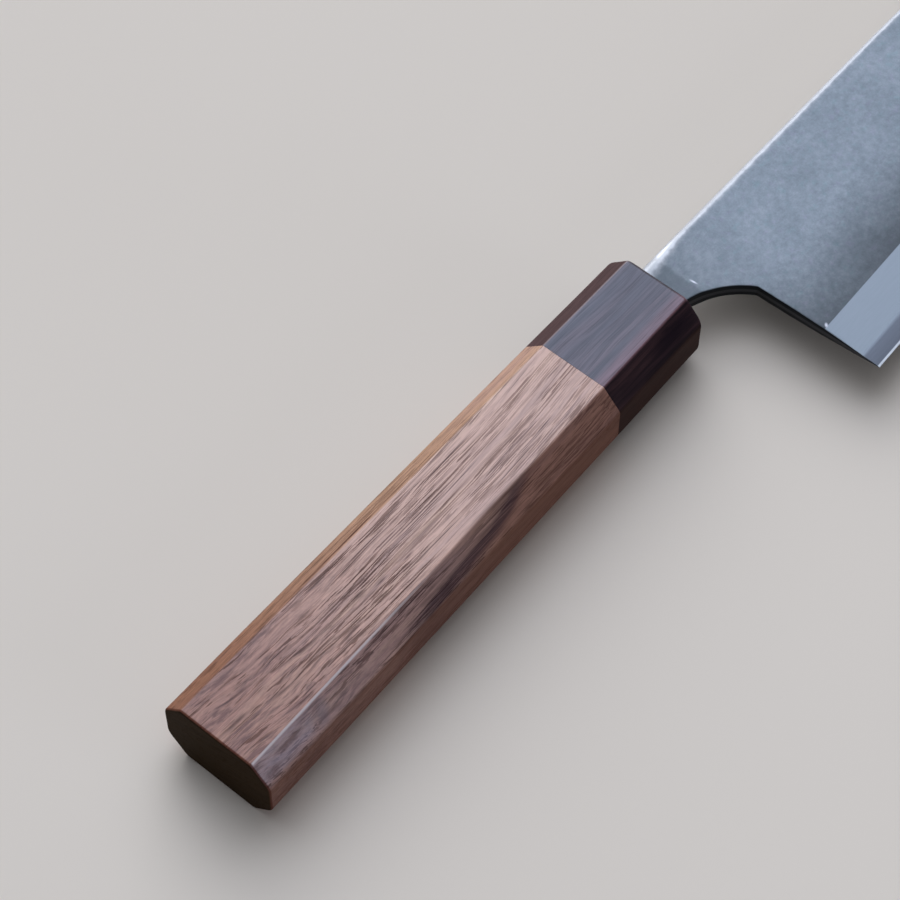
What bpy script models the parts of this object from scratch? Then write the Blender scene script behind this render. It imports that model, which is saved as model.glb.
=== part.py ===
"""A gyuto, the Japanese cook's knife: a three-layer forged blade and an octagonal wooden handle.

The knife lies on its left side, as on a cutting board. Units are metres and +Z is up. +X runs from the
butt to the tip, and +Y from the edge to the spine. The origin is the middle of its footprint.

Each shape is written in the knife's own frame, where x = 0 is the ferrule's front face, y = 0 is the
handle's axis and z = 0 is the blade's middle plane. One empty places all of them on the board.
"""

import math

import bmesh
import bpy
import numpy as np

# Handle, an octagon that tapers in height from the butt to the front of the ferrule
HANDLE_LENGTH = 0.1330
FERRULE_LENGTH = 0.0276
HANDLE_THICKNESS = 0.0185
BUTT_HEIGHT = 0.0261
FRONT_HEIGHT = 0.0236
FACET_RUN = 0.0044  # how far each slanting facet reaches across the height
FACET_DROP = 0.0048  # and down the thickness
RIDGE_RADIUS = 0.0009
BUTT_RIM_RADIUS = 0.0005
BUTT_SOFTENING = 2.4  # how much rounder the ridges get for each metre that the rim draws in
FERRULE_RIM_RADIUS = 0.00125
FERRULE_SOFTENING = 2.6

# Inside the handle
DOWEL_WALL = 0.00265  # handle wood beside the dowel
DOWEL_LENGTH = 0.0560
DOWEL_CHAMFER = 0.0007
DOWEL_CHEEK = 0.0021  # dowel wood above and below the tang's slot
RESIN_BEDDING = 0.0005  # resin all round the tang in its slot
RESIN_RECESS = 0.0004  # the resin stops this far inside the ferrule's mouth
RESIN_BEHIND_TANG = 0.0045
BOND_LINE = 0.00005  # glued faces stand this far apart
WELD_SEAM = 0.00002  # and so do the forge-welded layers

# Blade, seen from its side
BLADE_LENGTH = 0.2100  # heel corner to tip
HEEL_X = 0.0163  # heel corner, in front of the ferrule
HEEL_DEPTH = 0.0439  # heel corner, below the handle's axis
HEEL_LEAN = 0.0008  # the heel's line leans back by this much on its way up to the choil
SPINE_HEIGHT = 0.0073  # above the handle's axis, at the ferrule
SPINE_FALL = 0.010  # metres per metre, along the straight part of the spine
SPINE_STRAIGHT = 0.0800  # straight spine, from the ferrule
SPINE_TIP_ANGLE = math.radians(24)
TIP_DEPTH = 0.0170  # below the handle's axis
TIP_BLUNTNESS = 0.0006  # height of the last section
EDGE_RISE = 0.020  # metres per metre, along the flat of the edge
EDGE_FLAT = 0.0550  # flat of the edge, from the heel
EDGE_TIP_ANGLE = math.radians(38)
NECK_DEPTH = 0.00445  # underside of the neck, below the handle's axis
CHOIL_RADIUS = 0.0193
CHOIL_DROP = 0.0096  # the choil's curve meets the heel's line this far below the neck,
CHOIL_CORNER_RADIUS = 0.0015  # in a small curve of its own

# Blade, across its section at the neck. Thicknesses shrink together towards the tip
SPINE_THICKNESS = 0.0036
SHOULDER_THICKNESS = 0.0033
SHINOGI_THICKNESS = 0.0027
CORE_THICKNESS = 0.00096
TIP_THICKNESS = 0.0010
CROWN_DEPTH = 0.0016  # rounding of the spine, down the face
CROWN_RISE = 0.0014  # and across the thickness
SHOULDER_WIDTH = 0.0080  # where the forged face rolls over above the shinogi, the line at the bevel's top
BEVEL_HEIGHT = 0.0135
HONED_HEIGHT = 0.0005
HONED_THICKNESS = 0.00028
EDGE_THICKNESS = 0.00010
FULL_SECTION_HEIGHT = 0.0300  # a blade lower than this, near the tip, shrinks the features of its section

# Neck and tang
NECK_THICKNESS = 0.0041
NECK_CROWN_DEPTH = 0.0036
NECK_CROWN_RISE = 0.0019
NECK_END = 0.0070  # the neck's thickness holds up to here,
NECK_BLEND = 0.0025  # and becomes the blade's over this length
MACHI_INSET = 0.0040  # the shoulder between neck and tang lies this far inside the ferrule,
MACHI_WALL = 0.0020  # with this much ferrule wood between it and the dowel
MACHI_SLOPE = 0.0004
TANG_LENGTH = 0.0880
TANG_TAIL_HEIGHT = 0.0050
TANG_TAIL_THICKNESS = 0.0026
TANG_ROUNDING = 0.0005

# Facets of the mesh
CROWN_STEPS = 5
RIDGE_STEPS = 2
RIM_STEPS = 4
ROUND_SIDES = 40
CHOIL_STEPS = 13
CORNER_STEPS = 4
CURVE_SAMPLES = 400
SHARP_ANGLE = math.radians(25)
LEAVE_SHARE = 0.72  # how far the outline's curves follow the tangents of their ends
MEET_SHARE = 0.58
STRAIGHT_STATIONS = 7  # sections along the blade's straight part
CURVED_STATIONS = 29  # and along the rest, which crowd together towards the tip
CROWDING = 1.6

BUTT_X = -HANDLE_LENGTH
JOINT_X = -FERRULE_LENGTH
MACHI_X = -MACHI_INSET
TAIL_X = -TANG_LENGTH
TIP_X = HEEL_X + BLADE_LENGTH
BORE_FRONT_X = MACHI_X - MACHI_WALL
DOWEL_FRONT_X = BORE_FRONT_X - BOND_LINE
DOWEL_BACK_X = DOWEL_FRONT_X - DOWEL_LENGTH
BORE_END_X = min(TAIL_X, DOWEL_BACK_X) - RESIN_BEHIND_TANG
BORE_RADIUS = HANDLE_THICKNESS / 2 - DOWEL_WALL
DOWEL_RADIUS = BORE_RADIUS - BOND_LINE
SLOT_GROWTH = RESIN_BEDDING + BOND_LINE
TANG_HEIGHT = 2 * (DOWEL_RADIUS - DOWEL_CHEEK - SLOT_GROWTH)
CUT_MARGIN = 0.0050  # cutters reach this far past what they cut


def material(name, colour, roughness, metallic=0.0):
    made = bpy.data.materials.new(name)
    made.use_nodes = True
    shader = made.node_tree.nodes["Principled BSDF"]
    shader.inputs["Base Color"].default_value = (*colour, 1.0)
    shader.inputs["Roughness"].default_value = roughness
    shader.inputs["Metallic"].default_value = metallic
    made.diffuse_color = (*colour, 1.0)
    return made


def skin(rings):
    """A closed bmesh through rings of points, each ring with as many points and in the same order."""
    form = bmesh.new()
    loops = [[form.verts.new(point) for point in ring] for ring in rings]
    for near, far in zip(loops, loops[1:]):
        for i in range(len(near)):
            j = (i + 1) % len(near)
            form.faces.new((near[i], near[j], far[j], far[i]))
    form.faces.new(loops[0])
    form.faces.new(reversed(loops[-1]))
    bmesh.ops.recalc_face_normals(form, faces=form.faces)
    return form


def add(name, form, look=None):
    """Makes the named object of a bmesh, on the empty that places the knife. With no look it is a cutter."""
    mesh = bpy.data.meshes.new(name)
    form.to_mesh(mesh)
    form.free()
    mesh.shade_smooth()
    mesh.set_sharp_from_angle(angle=SHARP_ANGLE)
    made = bpy.data.objects.new(name, mesh)
    bpy.context.collection.objects.link(made)
    made.parent = bpy.data.objects["knife"]
    if look:
        mesh.materials.append(look)
    else:
        made.hide_render = True
        made.display_type = "WIRE"
    return made


def combine(target, tool, operation="DIFFERENCE"):
    step = target.modifiers.new(f"{operation.lower()} {tool.name}", "BOOLEAN")
    step.operation = operation
    step.object = tool


def sweep(start, start_slope, end, end_angle):
    """A cubic curve that leaves start on a slope and meets end at an angle, as arrays of x and y.

    Both of its handles point to where the two end tangents cross, so it never overshoots them.
    """
    start, end = np.array(start), np.array(end)
    end_slope = math.tan(end_angle)
    cross_x = (end[1] - start[1] + start_slope * start[0] - end_slope * end[0]) / (start_slope - end_slope)
    cross = np.array((cross_x, start[1] + start_slope * (cross_x - start[0])))
    leave = start + LEAVE_SHARE * (cross - start)
    meet = end + MEET_SHARE * (cross - end)
    t = np.linspace(0, 1, CURVE_SAMPLES)[:, None]
    points = (1 - t) ** 3 * start + 3 * t * (1 - t) ** 2 * leave + 3 * t**2 * (1 - t) * meet + t**3 * end
    return points[:, 0], points[:, 1]


def spine_line():
    """Spine from the ferrule to the tip: a straight stretch, then the curve down to the tip."""
    bend = (SPINE_STRAIGHT, SPINE_HEIGHT - SPINE_FALL * SPINE_STRAIGHT)
    top_of_tip = (TIP_X, TIP_BLUNTNESS / 2 - TIP_DEPTH)
    x, y = sweep(bend, -SPINE_FALL, top_of_tip, -SPINE_TIP_ANGLE)
    return np.append(0.0, x), np.append(SPINE_HEIGHT, y)


def edge_line():
    """Edge from behind the heel to the tip: the flat, then the belly up to the tip."""
    behind = -HANDLE_LENGTH - HEEL_X
    bend = (HEEL_X + EDGE_FLAT, EDGE_RISE * EDGE_FLAT - HEEL_DEPTH)
    x, y = sweep(bend, EDGE_RISE, (TIP_X, -TIP_BLUNTNESS / 2 - TIP_DEPTH), EDGE_TIP_ANGLE)
    return np.append(behind, x), np.append(EDGE_RISE * (behind - HEEL_X) - HEEL_DEPTH, y)


SPINE = spine_line()
EDGE = edge_line()
TANG_TOP = (
    (TAIL_X, TANG_TAIL_HEIGHT / 2),
    (MACHI_X, TANG_HEIGHT / 2),
    (MACHI_X + MACHI_SLOPE, SPINE_HEIGHT),
    (0.0, SPINE_HEIGHT),
)
TANG_BOTTOM = (
    (TAIL_X, -TANG_TAIL_HEIGHT / 2),
    (MACHI_X, -TANG_HEIGHT / 2),
    (MACHI_X + MACHI_SLOPE, -NECK_DEPTH),
    (0.0, -NECK_DEPTH),
)
THICKNESS = (
    (TAIL_X, TANG_TAIL_THICKNESS),
    (MACHI_X, NECK_THICKNESS),
    (NECK_END, NECK_THICKNESS),
    (NECK_END + NECK_BLEND, SPINE_THICKNESS),
    (TIP_X, TIP_THICKNESS),
)
CROWN_DEPTHS = (
    (MACHI_X, TANG_ROUNDING),
    (MACHI_X + MACHI_SLOPE, NECK_CROWN_DEPTH),
    (0.0, NECK_CROWN_DEPTH),
    (HEEL_X, CROWN_DEPTH),
    (TIP_X, CROWN_DEPTH * TIP_THICKNESS / SPINE_THICKNESS),
)
CROWN_RISES = (
    (MACHI_X, TANG_ROUNDING),
    (MACHI_X + MACHI_SLOPE, NECK_CROWN_RISE),
    (NECK_END, NECK_CROWN_RISE),
    (NECK_END + NECK_BLEND, CROWN_RISE),
    (TIP_X, CROWN_RISE * TIP_THICKNESS / SPINE_THICKNESS),
)


def along(line, x):
    """Value at x of a line given as points, straight between them."""
    return float(np.interp(x, *zip(*line)))


def spine_y(x):
    return along(TANG_TOP, x) if x < 0 else float(np.interp(x, *SPINE))


def edge_y(x):
    return float(np.interp(x, *EDGE))


def lowness(x):
    """1 where the blade has its full section, and less towards the tip, where the whole section is lower."""
    return min(1.0, (spine_y(x) - edge_y(x)) / FULL_SECTION_HEIGHT)


def crown_arc(x, inner_z=0.0, growth=0.0):
    """Points (y, z) over the spine's elliptical rounding, from height inner_z out to the face."""
    half = along(THICKNESS, x) / 2 + growth
    rise = min(along(CROWN_RISES, x) + growth, half)
    depth = along(CROWN_DEPTHS, x) * lowness(x) + growth
    centre_y = spine_y(x) + growth - depth
    centre_z = half - rise
    start = math.asin(min(max((inner_z - centre_z) / rise, 0.0), 1.0))
    points = [(centre_y + depth * math.cos(start), inner_z)]
    for step in range(1, CROWN_STEPS + 1):
        angle = start + (math.pi / 2 - start) * step / CROWN_STEPS
        points.append((centre_y + depth * math.cos(angle), centre_z + rise * math.sin(angle)))
    return points


def section(x):
    """Named heights and half thicknesses of the blade's section at x."""
    thin = along(THICKNESS, x) / SPINE_THICKNESS
    low = lowness(x)
    edge = edge_y(x)
    honed = (edge + HONED_HEIGHT * low, HONED_THICKNESS / 2 * min(thin, 1.0))
    shinogi = (edge + BEVEL_HEIGHT * low, SHINOGI_THICKNESS / 2 * thin)
    shoulder = (shinogi[0] + SHOULDER_WIDTH * low, SHOULDER_THICKNESS / 2 * thin)
    return {
        "edge": (edge, EDGE_THICKNESS / 2 * min(thin, 1.0)),
        "honed": honed,
        "shinogi": shinogi,
        "shoulder": shoulder,
        "core": CORE_THICKNESS / 2 * thin,
    }


def on_bevel(part, z):
    """Height at which the bevel's half thickness is z, where a layer comes out at the surface."""
    (low, thin), (high, thick) = part["honed"], part["shinogi"]
    return low + (high - low) * (z - thin) / (thick - thin)


def core_ring(x):
    part = section(x)
    half_core = part["core"]
    side = [crown_arc(x, half_core)[0], (on_bevel(part, half_core), half_core), part["honed"], part["edge"]]
    return [(x, y, z) for y, z in side] + [(x, y, -z) for y, z in reversed(side)]


def cladding_ring(x, facing):
    """One outer layer's section. Facing is 1 for the knife's right face, which is up, and -1 for left."""
    part = section(x)
    inner = part["core"] + WELD_SEAM
    outline = crown_arc(x, inner) + [part["shoulder"], part["shinogi"], (on_bevel(part, inner), inner)]
    return [(x, y, facing * z) for y, z in outline]


def tang_ring(x, growth):
    """Outline of the whole tang or neck at x, grown evenly: what its slot, its resin and its cut need."""
    bottom = along(TANG_BOTTOM, x) - growth
    half = along(THICKNESS, x) / 2 + growth
    side = crown_arc(x, 0.0, growth) + [(bottom, half)]
    return [(x, y, z) for y, z in side] + [(x, y, -z) for y, z in reversed(side[1:])]


def blade_stations():
    """Where the blade's sections are taken: at each change of form, then closer together towards the tip."""
    stations = [TAIL_X, MACHI_X, MACHI_X + MACHI_SLOPE, 0.0, NECK_END, NECK_END + NECK_BLEND]
    stations += list(np.linspace(HEEL_X, SPINE_STRAIGHT, STRAIGHT_STATIONS + 1))
    for t in np.linspace(0, 1, CURVED_STATIONS + 1):
        stations.append(TIP_X - (TIP_X - SPINE_STRAIGHT) * (1 - t) ** CROWDING)
    return sorted({round(float(x), 7) for x in stations})


def choil_curve():
    """The choil from the heel's line up to the neck: a small corner curve, then the long arc."""
    heel_corner = np.array((HEEL_X, -HEEL_DEPTH))
    meeting = np.array((HEEL_X - HEEL_LEAN, -NECK_DEPTH - CHOIL_DROP))
    up = (meeting - heel_corner) / np.linalg.norm(meeting - heel_corner)
    back = np.array((-up[1], up[0]))
    rise = CHOIL_RADIUS - CHOIL_DROP
    centre = meeting - (math.sqrt(CHOIL_RADIUS**2 - rise**2), rise)

    # The corner's centre is one corner radius behind the heel's line and inside the long arc by the same
    foot = heel_corner + back * CHOIL_CORNER_RADIUS
    along_line = float((centre - foot) @ up)
    aside = float(np.linalg.norm(centre - foot - up * along_line))
    reach = math.sqrt((CHOIL_RADIUS - CHOIL_CORNER_RADIUS) ** 2 - aside**2)
    corner = foot + up * (along_line + reach)
    low = math.atan2(-back[1], -back[0])
    high = math.atan2(*(corner - centre)[::-1])
    small = [(corner, CHOIL_CORNER_RADIUS, angle) for angle in np.linspace(low, high, CORNER_STEPS)]
    large = [(centre, CHOIL_RADIUS, angle) for angle in np.linspace(high, math.pi / 2, CHOIL_STEPS)[1:]]
    return [(float(c[0] + r * math.cos(a)), float(c[1] + r * math.sin(a))) for c, r, a in small + large]


def heel_outline():
    """What is sawn away under the neck and tang: the heel, the choil's curve and the tang's lower edge."""
    below = -HEEL_DEPTH - CUT_MARGIN
    heel_slope = HEEL_LEAN / (HEEL_DEPTH - NECK_DEPTH - CHOIL_DROP)
    tang = [(x, y) for x, y in reversed(TANG_BOTTOM[:-1])]
    behind = TAIL_X - CUT_MARGIN
    tail_slope = (TANG_BOTTOM[1][1] - TANG_BOTTOM[0][1]) / (TANG_BOTTOM[1][0] - TANG_BOTTOM[0][0])
    tang.append((behind, TANG_BOTTOM[0][1] - tail_slope * CUT_MARGIN))
    heel = [(HEEL_X + heel_slope * CUT_MARGIN, below)]
    return heel + choil_curve() + tang + [(behind, below - CUT_MARGIN * 2)]


def prism(outline, half_depth):
    return skin([[(x, y, z) for x, y in outline] for z in (-half_depth, half_depth)])


def octagon(x, inset=0.0, softening=0.0):
    """The handle's section at x, drawn in by inset. Softening rounds the ridges more as it draws in."""
    half_height = np.interp(x, (BUTT_X, 0.0), (BUTT_HEIGHT / 2, FRONT_HEIGHT / 2)) - inset
    half_thickness = HANDLE_THICKNESS / 2 - inset
    slant = math.hypot(FACET_RUN, FACET_DROP)
    shrink = inset * (slant - FACET_RUN - FACET_DROP)
    run = FACET_RUN + shrink / FACET_DROP
    drop = FACET_DROP + shrink / FACET_RUN
    high = (half_height, half_thickness - drop)
    wide = (half_height - run, half_thickness)
    corners = [high, wide, (-wide[0], wide[1]), (-high[0], high[1])]
    corners += [(-y, -z) for y, z in corners]
    ring = []
    for i, corner in enumerate(corners):
        before = np.subtract(corners[i - 1], corner)
        after = np.subtract(corners[(i + 1) % len(corners)], corner)
        before, after = before / np.linalg.norm(before), after / np.linalg.norm(after)
        half_turn = math.acos(float(before @ after)) / 2
        reach = (RIDGE_RADIUS + inset * softening) / math.tan(half_turn)
        for step in range(RIDGE_STEPS + 1):
            t = step / RIDGE_STEPS
            y, z = corner + reach * ((1 - t) ** 2 * before + t**2 * after)
            ring.append((x, float(y), float(z)))
    return ring


def rounded_end(end_x, inwards, radius, softening):
    """Rings of the octagon over a rounded rim, from the end face to where the rim meets the facets."""
    rings = []
    for step in range(RIM_STEPS + 1):
        angle = math.pi / 2 * step / RIM_STEPS
        x = end_x + inwards * radius * (1 - math.cos(angle))
        rings.append(octagon(x, radius * (1 - math.sin(angle)), softening))
    return rings


def turned(profile):
    """A closed form turned about the handle's axis from (x, radius) pairs."""
    angles = [2 * math.pi * i / ROUND_SIDES for i in range(ROUND_SIDES)]
    return skin([[(x, r * math.cos(a), r * math.sin(a)) for a in angles] for x, r in profile])


def tang_form(stations, growth):
    return skin([tang_ring(x, growth) for x in stations])


def build_blade():
    steel = material("polished core steel", (0.50, 0.53, 0.57), 0.28, 1.0)
    forged = material("forged cladding", (0.33, 0.37, 0.42), 0.48, 1.0)
    stations = blade_stations()
    waste = add("heel and tang cutter", prism(heel_outline(), NECK_THICKNESS * 2))
    layers = (
        add("core_steel", skin([core_ring(x) for x in stations]), steel),
        add("right_cladding", skin([cladding_ring(x, 1) for x in stations]), forged),
        add("left_cladding", skin([cladding_ring(x, -1) for x in stations]), forged),
    )
    for layer in layers:
        combine(layer, waste)


def build_handle():
    walnut = material("walnut", (0.24, 0.12, 0.085), 0.42)
    rosewood = material("rosewood", (0.055, 0.032, 0.035), 0.30)
    bore = add("bore cutter", turned([(BORE_END_X, BORE_RADIUS), (BORE_FRONT_X, BORE_RADIUS)]))
    slot_stations = (BORE_END_X, MACHI_X, MACHI_X + MACHI_SLOPE, CUT_MARGIN)
    slot = add("tang slot cutter", tang_form(slot_stations, SLOT_GROWTH))

    butt = rounded_end(BUTT_X, 1, BUTT_RIM_RADIUS, BUTT_SOFTENING)
    body = add("handle_body", skin(butt + [octagon(JOINT_X - BOND_LINE)]), walnut)
    combine(body, bore)

    front = rounded_end(0.0, -1, FERRULE_RIM_RADIUS, FERRULE_SOFTENING)
    ferrule = add("ferrule", skin(front + [octagon(JOINT_X)]), rosewood)
    combine(ferrule, bore)
    combine(ferrule, slot)
    return slot


def build_bedding(slot):
    """The slotted dowel that joins ferrule and handle, and the resin that holds the tang in both."""
    poplar = material("dowel wood", (0.62, 0.47, 0.30), 0.60)
    amber = material("cured resin", (0.16, 0.10, 0.045), 0.35)
    profile = [
        (DOWEL_BACK_X, DOWEL_RADIUS - DOWEL_CHAMFER),
        (DOWEL_BACK_X + DOWEL_CHAMFER, DOWEL_RADIUS),
        (DOWEL_FRONT_X - DOWEL_CHAMFER, DOWEL_RADIUS),
        (DOWEL_FRONT_X, DOWEL_RADIUS - DOWEL_CHAMFER),
    ]
    dowel = add("dowel", turned(profile), poplar)
    combine(dowel, slot)

    # The sleeve fills the slot, and the plug the bore behind the dowel. They are one casting
    plug_front = DOWEL_BACK_X - BOND_LINE
    sleeve_stations = (TAIL_X, MACHI_X, MACHI_X + MACHI_SLOPE, -RESIN_RECESS)
    plug = add("resin plug", turned([(BORE_END_X + BOND_LINE, DOWEL_RADIUS), (plug_front, DOWEL_RADIUS)]))
    tang_stations = (TAIL_X - BOND_LINE, MACHI_X, MACHI_X + MACHI_SLOPE, CUT_MARGIN)
    tang = add("tang cutter", tang_form(tang_stations, BOND_LINE))
    resin = add("tang_resin", tang_form(sleeve_stations, RESIN_BEDDING), amber)
    combine(resin, plug, "UNION")
    combine(resin, tang)


def main():
    for old in list(bpy.data.objects):
        bpy.data.objects.remove(old, do_unlink=True)
    knife = bpy.data.objects.new("knife", None)
    highest = max(BUTT_HEIGHT / 2, SPINE_HEIGHT)
    knife.location = (-(BUTT_X + TIP_X) / 2, (HEEL_DEPTH - highest) / 2, HANDLE_THICKNESS / 2)
    bpy.context.collection.objects.link(knife)
    build_blade()
    build_bedding(build_handle())


main()
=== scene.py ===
import math

import bmesh
import bpy
import numpy as np
from mathutils import Matrix, Vector, noise
from mathutils.geometry import delaunay_2d_cdt


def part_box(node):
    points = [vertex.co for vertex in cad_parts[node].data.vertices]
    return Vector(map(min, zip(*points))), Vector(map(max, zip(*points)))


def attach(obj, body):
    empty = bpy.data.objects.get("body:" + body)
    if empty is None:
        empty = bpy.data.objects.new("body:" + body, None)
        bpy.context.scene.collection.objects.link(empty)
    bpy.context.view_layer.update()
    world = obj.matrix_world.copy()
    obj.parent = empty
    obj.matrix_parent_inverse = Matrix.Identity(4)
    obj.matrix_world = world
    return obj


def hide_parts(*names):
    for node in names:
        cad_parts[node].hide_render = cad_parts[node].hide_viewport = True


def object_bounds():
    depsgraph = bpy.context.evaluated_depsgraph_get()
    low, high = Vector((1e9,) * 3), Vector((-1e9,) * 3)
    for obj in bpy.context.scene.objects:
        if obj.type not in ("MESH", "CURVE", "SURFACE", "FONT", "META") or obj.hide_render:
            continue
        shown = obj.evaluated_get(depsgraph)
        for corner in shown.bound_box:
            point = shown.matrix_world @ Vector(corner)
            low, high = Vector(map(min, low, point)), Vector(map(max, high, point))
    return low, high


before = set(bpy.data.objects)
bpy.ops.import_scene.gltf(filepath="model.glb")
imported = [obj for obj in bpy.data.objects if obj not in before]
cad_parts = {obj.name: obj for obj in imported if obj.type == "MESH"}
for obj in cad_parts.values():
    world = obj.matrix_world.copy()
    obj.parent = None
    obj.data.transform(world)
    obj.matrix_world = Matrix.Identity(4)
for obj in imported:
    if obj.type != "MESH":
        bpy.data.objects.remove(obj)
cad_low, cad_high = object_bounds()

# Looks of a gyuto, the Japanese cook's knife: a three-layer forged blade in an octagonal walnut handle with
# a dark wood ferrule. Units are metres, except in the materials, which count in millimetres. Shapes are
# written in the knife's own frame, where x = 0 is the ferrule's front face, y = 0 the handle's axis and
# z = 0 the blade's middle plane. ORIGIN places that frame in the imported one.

MM = 0.001

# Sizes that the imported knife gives
body_low, body_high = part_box("handle_body")
ferrule_low, ferrule_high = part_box("ferrule")
core_low, core_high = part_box("core_steel")
axis_y = (ferrule_low.y + ferrule_high.y) / 2
axis_z = (ferrule_low.z + ferrule_high.z) / 2
ORIGIN = Vector((ferrule_high.x, axis_y, axis_z))
HANDLE_THICKNESS = ferrule_high.z - ferrule_low.z
BUTT_X = body_low.x - ORIGIN.x
BODY_FRONT_X = body_high.x - ORIGIN.x
JOINT_X = ferrule_low.x - ORIGIN.x
TAIL_X = core_low.x - ORIGIN.x
TIP_X = core_high.x - ORIGIN.x
HEEL_DEPTH = ORIGIN.y - core_low.y

# Handle
BUTT_HEIGHT = 0.0261
FRONT_HEIGHT = 0.0236
FACET_RUN = 0.0044
FACET_DROP = 0.0048
RIDGE_RADIUS = 0.0009
SIDE_RIDGE_WEAR = 1.1  # how much rounder the ridges beside the narrow facets are, and twice that at the ends
FRONT_WEAR = (-0.03, -0.008)  # where that wear grows towards the ferrule's front
REAR_WEAR = (-0.11, -0.128)
BUTT_RIM_RADIUS = 0.0005
BUTT_FACE_INSET = BUTT_RIM_RADIUS * 1.6
BUTT_SOFTENING = 2.4  # how much rounder the ridges get for each metre that the rim draws in
FERRULE_RIM_RADIUS = 0.00125
FERRULE_FACE_INSET = FERRULE_RIM_RADIUS * 1.2
FERRULE_SOFTENING = 2.6
BORE_RADIUS = 0.0066
BORE_FRONT_X = -0.006
BORE_END_X = -0.0925
SLOT_GROWTH = 0.00055
HAND_WORK = 0.00004  # the hand-sanded facets dip by this much
HAND_WORK_LENGTH = 0.016
HAND_WORK_WIDTH = 0.006
RIDGE_WEAR = 0.25  # share by which the ridges' rounding varies along the handle

# Blade, seen from its side
HEEL_X = 0.0163
HEEL_LEAN = 0.0008
SPINE_HEIGHT = 0.0073
SPINE_FALL = 0.01
SPINE_STRAIGHT = 0.08
SPINE_TIP_ANGLE = math.radians(24)
TIP_DEPTH = 0.017
TIP_BLUNTNESS = 0.0006
EDGE_RISE = 0.02
EDGE_FLAT = 0.055
EDGE_TIP_ANGLE = math.radians(38)
NECK_DEPTH = 0.00445
CHOIL_RADIUS = 0.0193
CHOIL_DROP = 0.0096
CHOIL_CORNER_RADIUS = 0.0015
LEAVE_SHARE = 0.72
MEET_SHARE = 0.58

# Blade, across its section
SPINE_THICKNESS = 0.0036
SHOULDER_THICKNESS = 0.0033
SHINOGI_THICKNESS = 0.0027
CORE_THICKNESS = 0.00096
TIP_THICKNESS = 0.001
TIP_SHARE = TIP_THICKNESS / SPINE_THICKNESS
CROWN_DEPTH = 0.0016
CROWN_RISE = 0.0014
SHOULDER_WIDTH = 0.008
SHOULDER_SOFTNESS = 0.00002  # how far the roll above the shinogi, the bevel's upper line, cuts its corner
BEVEL_HEIGHT = 0.0135
HONED_HEIGHT = 0.0005
HONED_THICKNESS = 0.00028
EDGE_THICKNESS = 0.0001
FULL_SECTION_HEIGHT = 0.03
WELD_SEAM = 0.00002
CUT_ROUNDING = 0.00028  # the sawn heel and choil are eased by this radius

# Neck and tang
MACHI_X = -0.004  # the shoulder between tang and neck
MACHI_SLOPE = 0.0004
NECK_BACK_X = MACHI_X + MACHI_SLOPE
NECK_THICKNESS = 0.0041
MACHI_THICKNESS = NECK_THICKNESS * 0.955
NECK_CROWN_DEPTH = 0.0036
NECK_CROWN_RISE = 0.0019
NECK_STEP_X = 0.0075  # the hammered step from the neck down to the blade's face
NECK_STEP_LENGTH = 0.0009
NECK_STEP_END_X = NECK_STEP_X + NECK_STEP_LENGTH
TAPER_STEP = (0.007, 0.0095)  # the taper steps down from the neck's thickness to the spine's between these
TANG_TAIL_HEIGHT = 0.005
TANG_TAIL_THICKNESS = 0.0026
TANG_HEIGHT = 0.0078
TANG_ROUNDING = 0.0005

# Forging marks, as depth, length and seed of the waves
FACE_WAVES = ((0.00003, 0.011, 3.1), (0.000012, 0.004, 7.7))
NECK_WAVES = ((0.00005, 0.003, 5.3), (0.000022, 0.0013, 9.4))
NECK_MARKS_END = 0.03  # the neck's deeper marks fade out by here
MARKS_TO_SHINOGI = 0.003  # the marks fade out towards the shinogi and the spine over these widths
MARKS_TO_SPINE = 0.0012

# The meshes' own measures
TOUCHING = 1e-7  # where top and bottom are closer than this, they meet
ONE_POINT_MM = 1e-4  # closer points of a side view, in millimetres, are one
LEAST_CLADDING = 2e-6
BESIDE_CUT = 0.0004  # the lines along the blade start this far from the heel
BESIDE_CORNER = 1e-5
BESIDE_SHINOGI = 0.00012
CLEAR_OF_CUT = CUT_ROUNDING * 1.8
NECK_SPACING = 0.0005
BLADE_SPACING = 0.0016
SHARP_ANGLE = 30
NECK_STATIONS_END = HEEL_X + 0.004
TIP_STATIONS_START = SPINE_STRAIGHT + 0.06

# The floor's half size, and how far it lies below the knife
FLOOR_REACH = 12.0
FLOOR_GAP = 0.00002

# Lamps: name, azimuth, elevation, distance, width and height, radiance, colour
LAMPS = (
    ("window", 52, 27, 1.7, (1.3, 0.9), 2.3, (0.96, 0.98, 1.02)),
    ("side_panel", -84, 16, 1.8, (0.75, 0.7), 2.2, (0.88, 0.93, 1.12)),
)

# The glow by the angle from its middle, and the colours of its light and of the dim room round it
GLOW = ((110, 0.0), (75, 0.015), (52, 0.06), (38, 0.2), (28, 0.5), (16, 0.86), (0, 1.0))
GLOW_DIRECTION = (45, 52)  # azimuth and elevation of its middle
GLOW_STRENGTH = 3.0
GLOW_COLOUR = (0.87, 0.94, 1.1)
ROOM_COLOUR = (0.03, 0.03, 0.031)

CAMERA_PLACE = (-0.33485, -0.167675, 0.50835)
CAMERA_FORWARD = (0.4015, 0.3303, -0.8542)
CAMERA_RIGHT = (0.6386, -0.7695, 0.0025)
CAMERA_LENS = 118.65
CAMERA_SENSOR = 36
CAMERA_NEAR = 0.01


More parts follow.
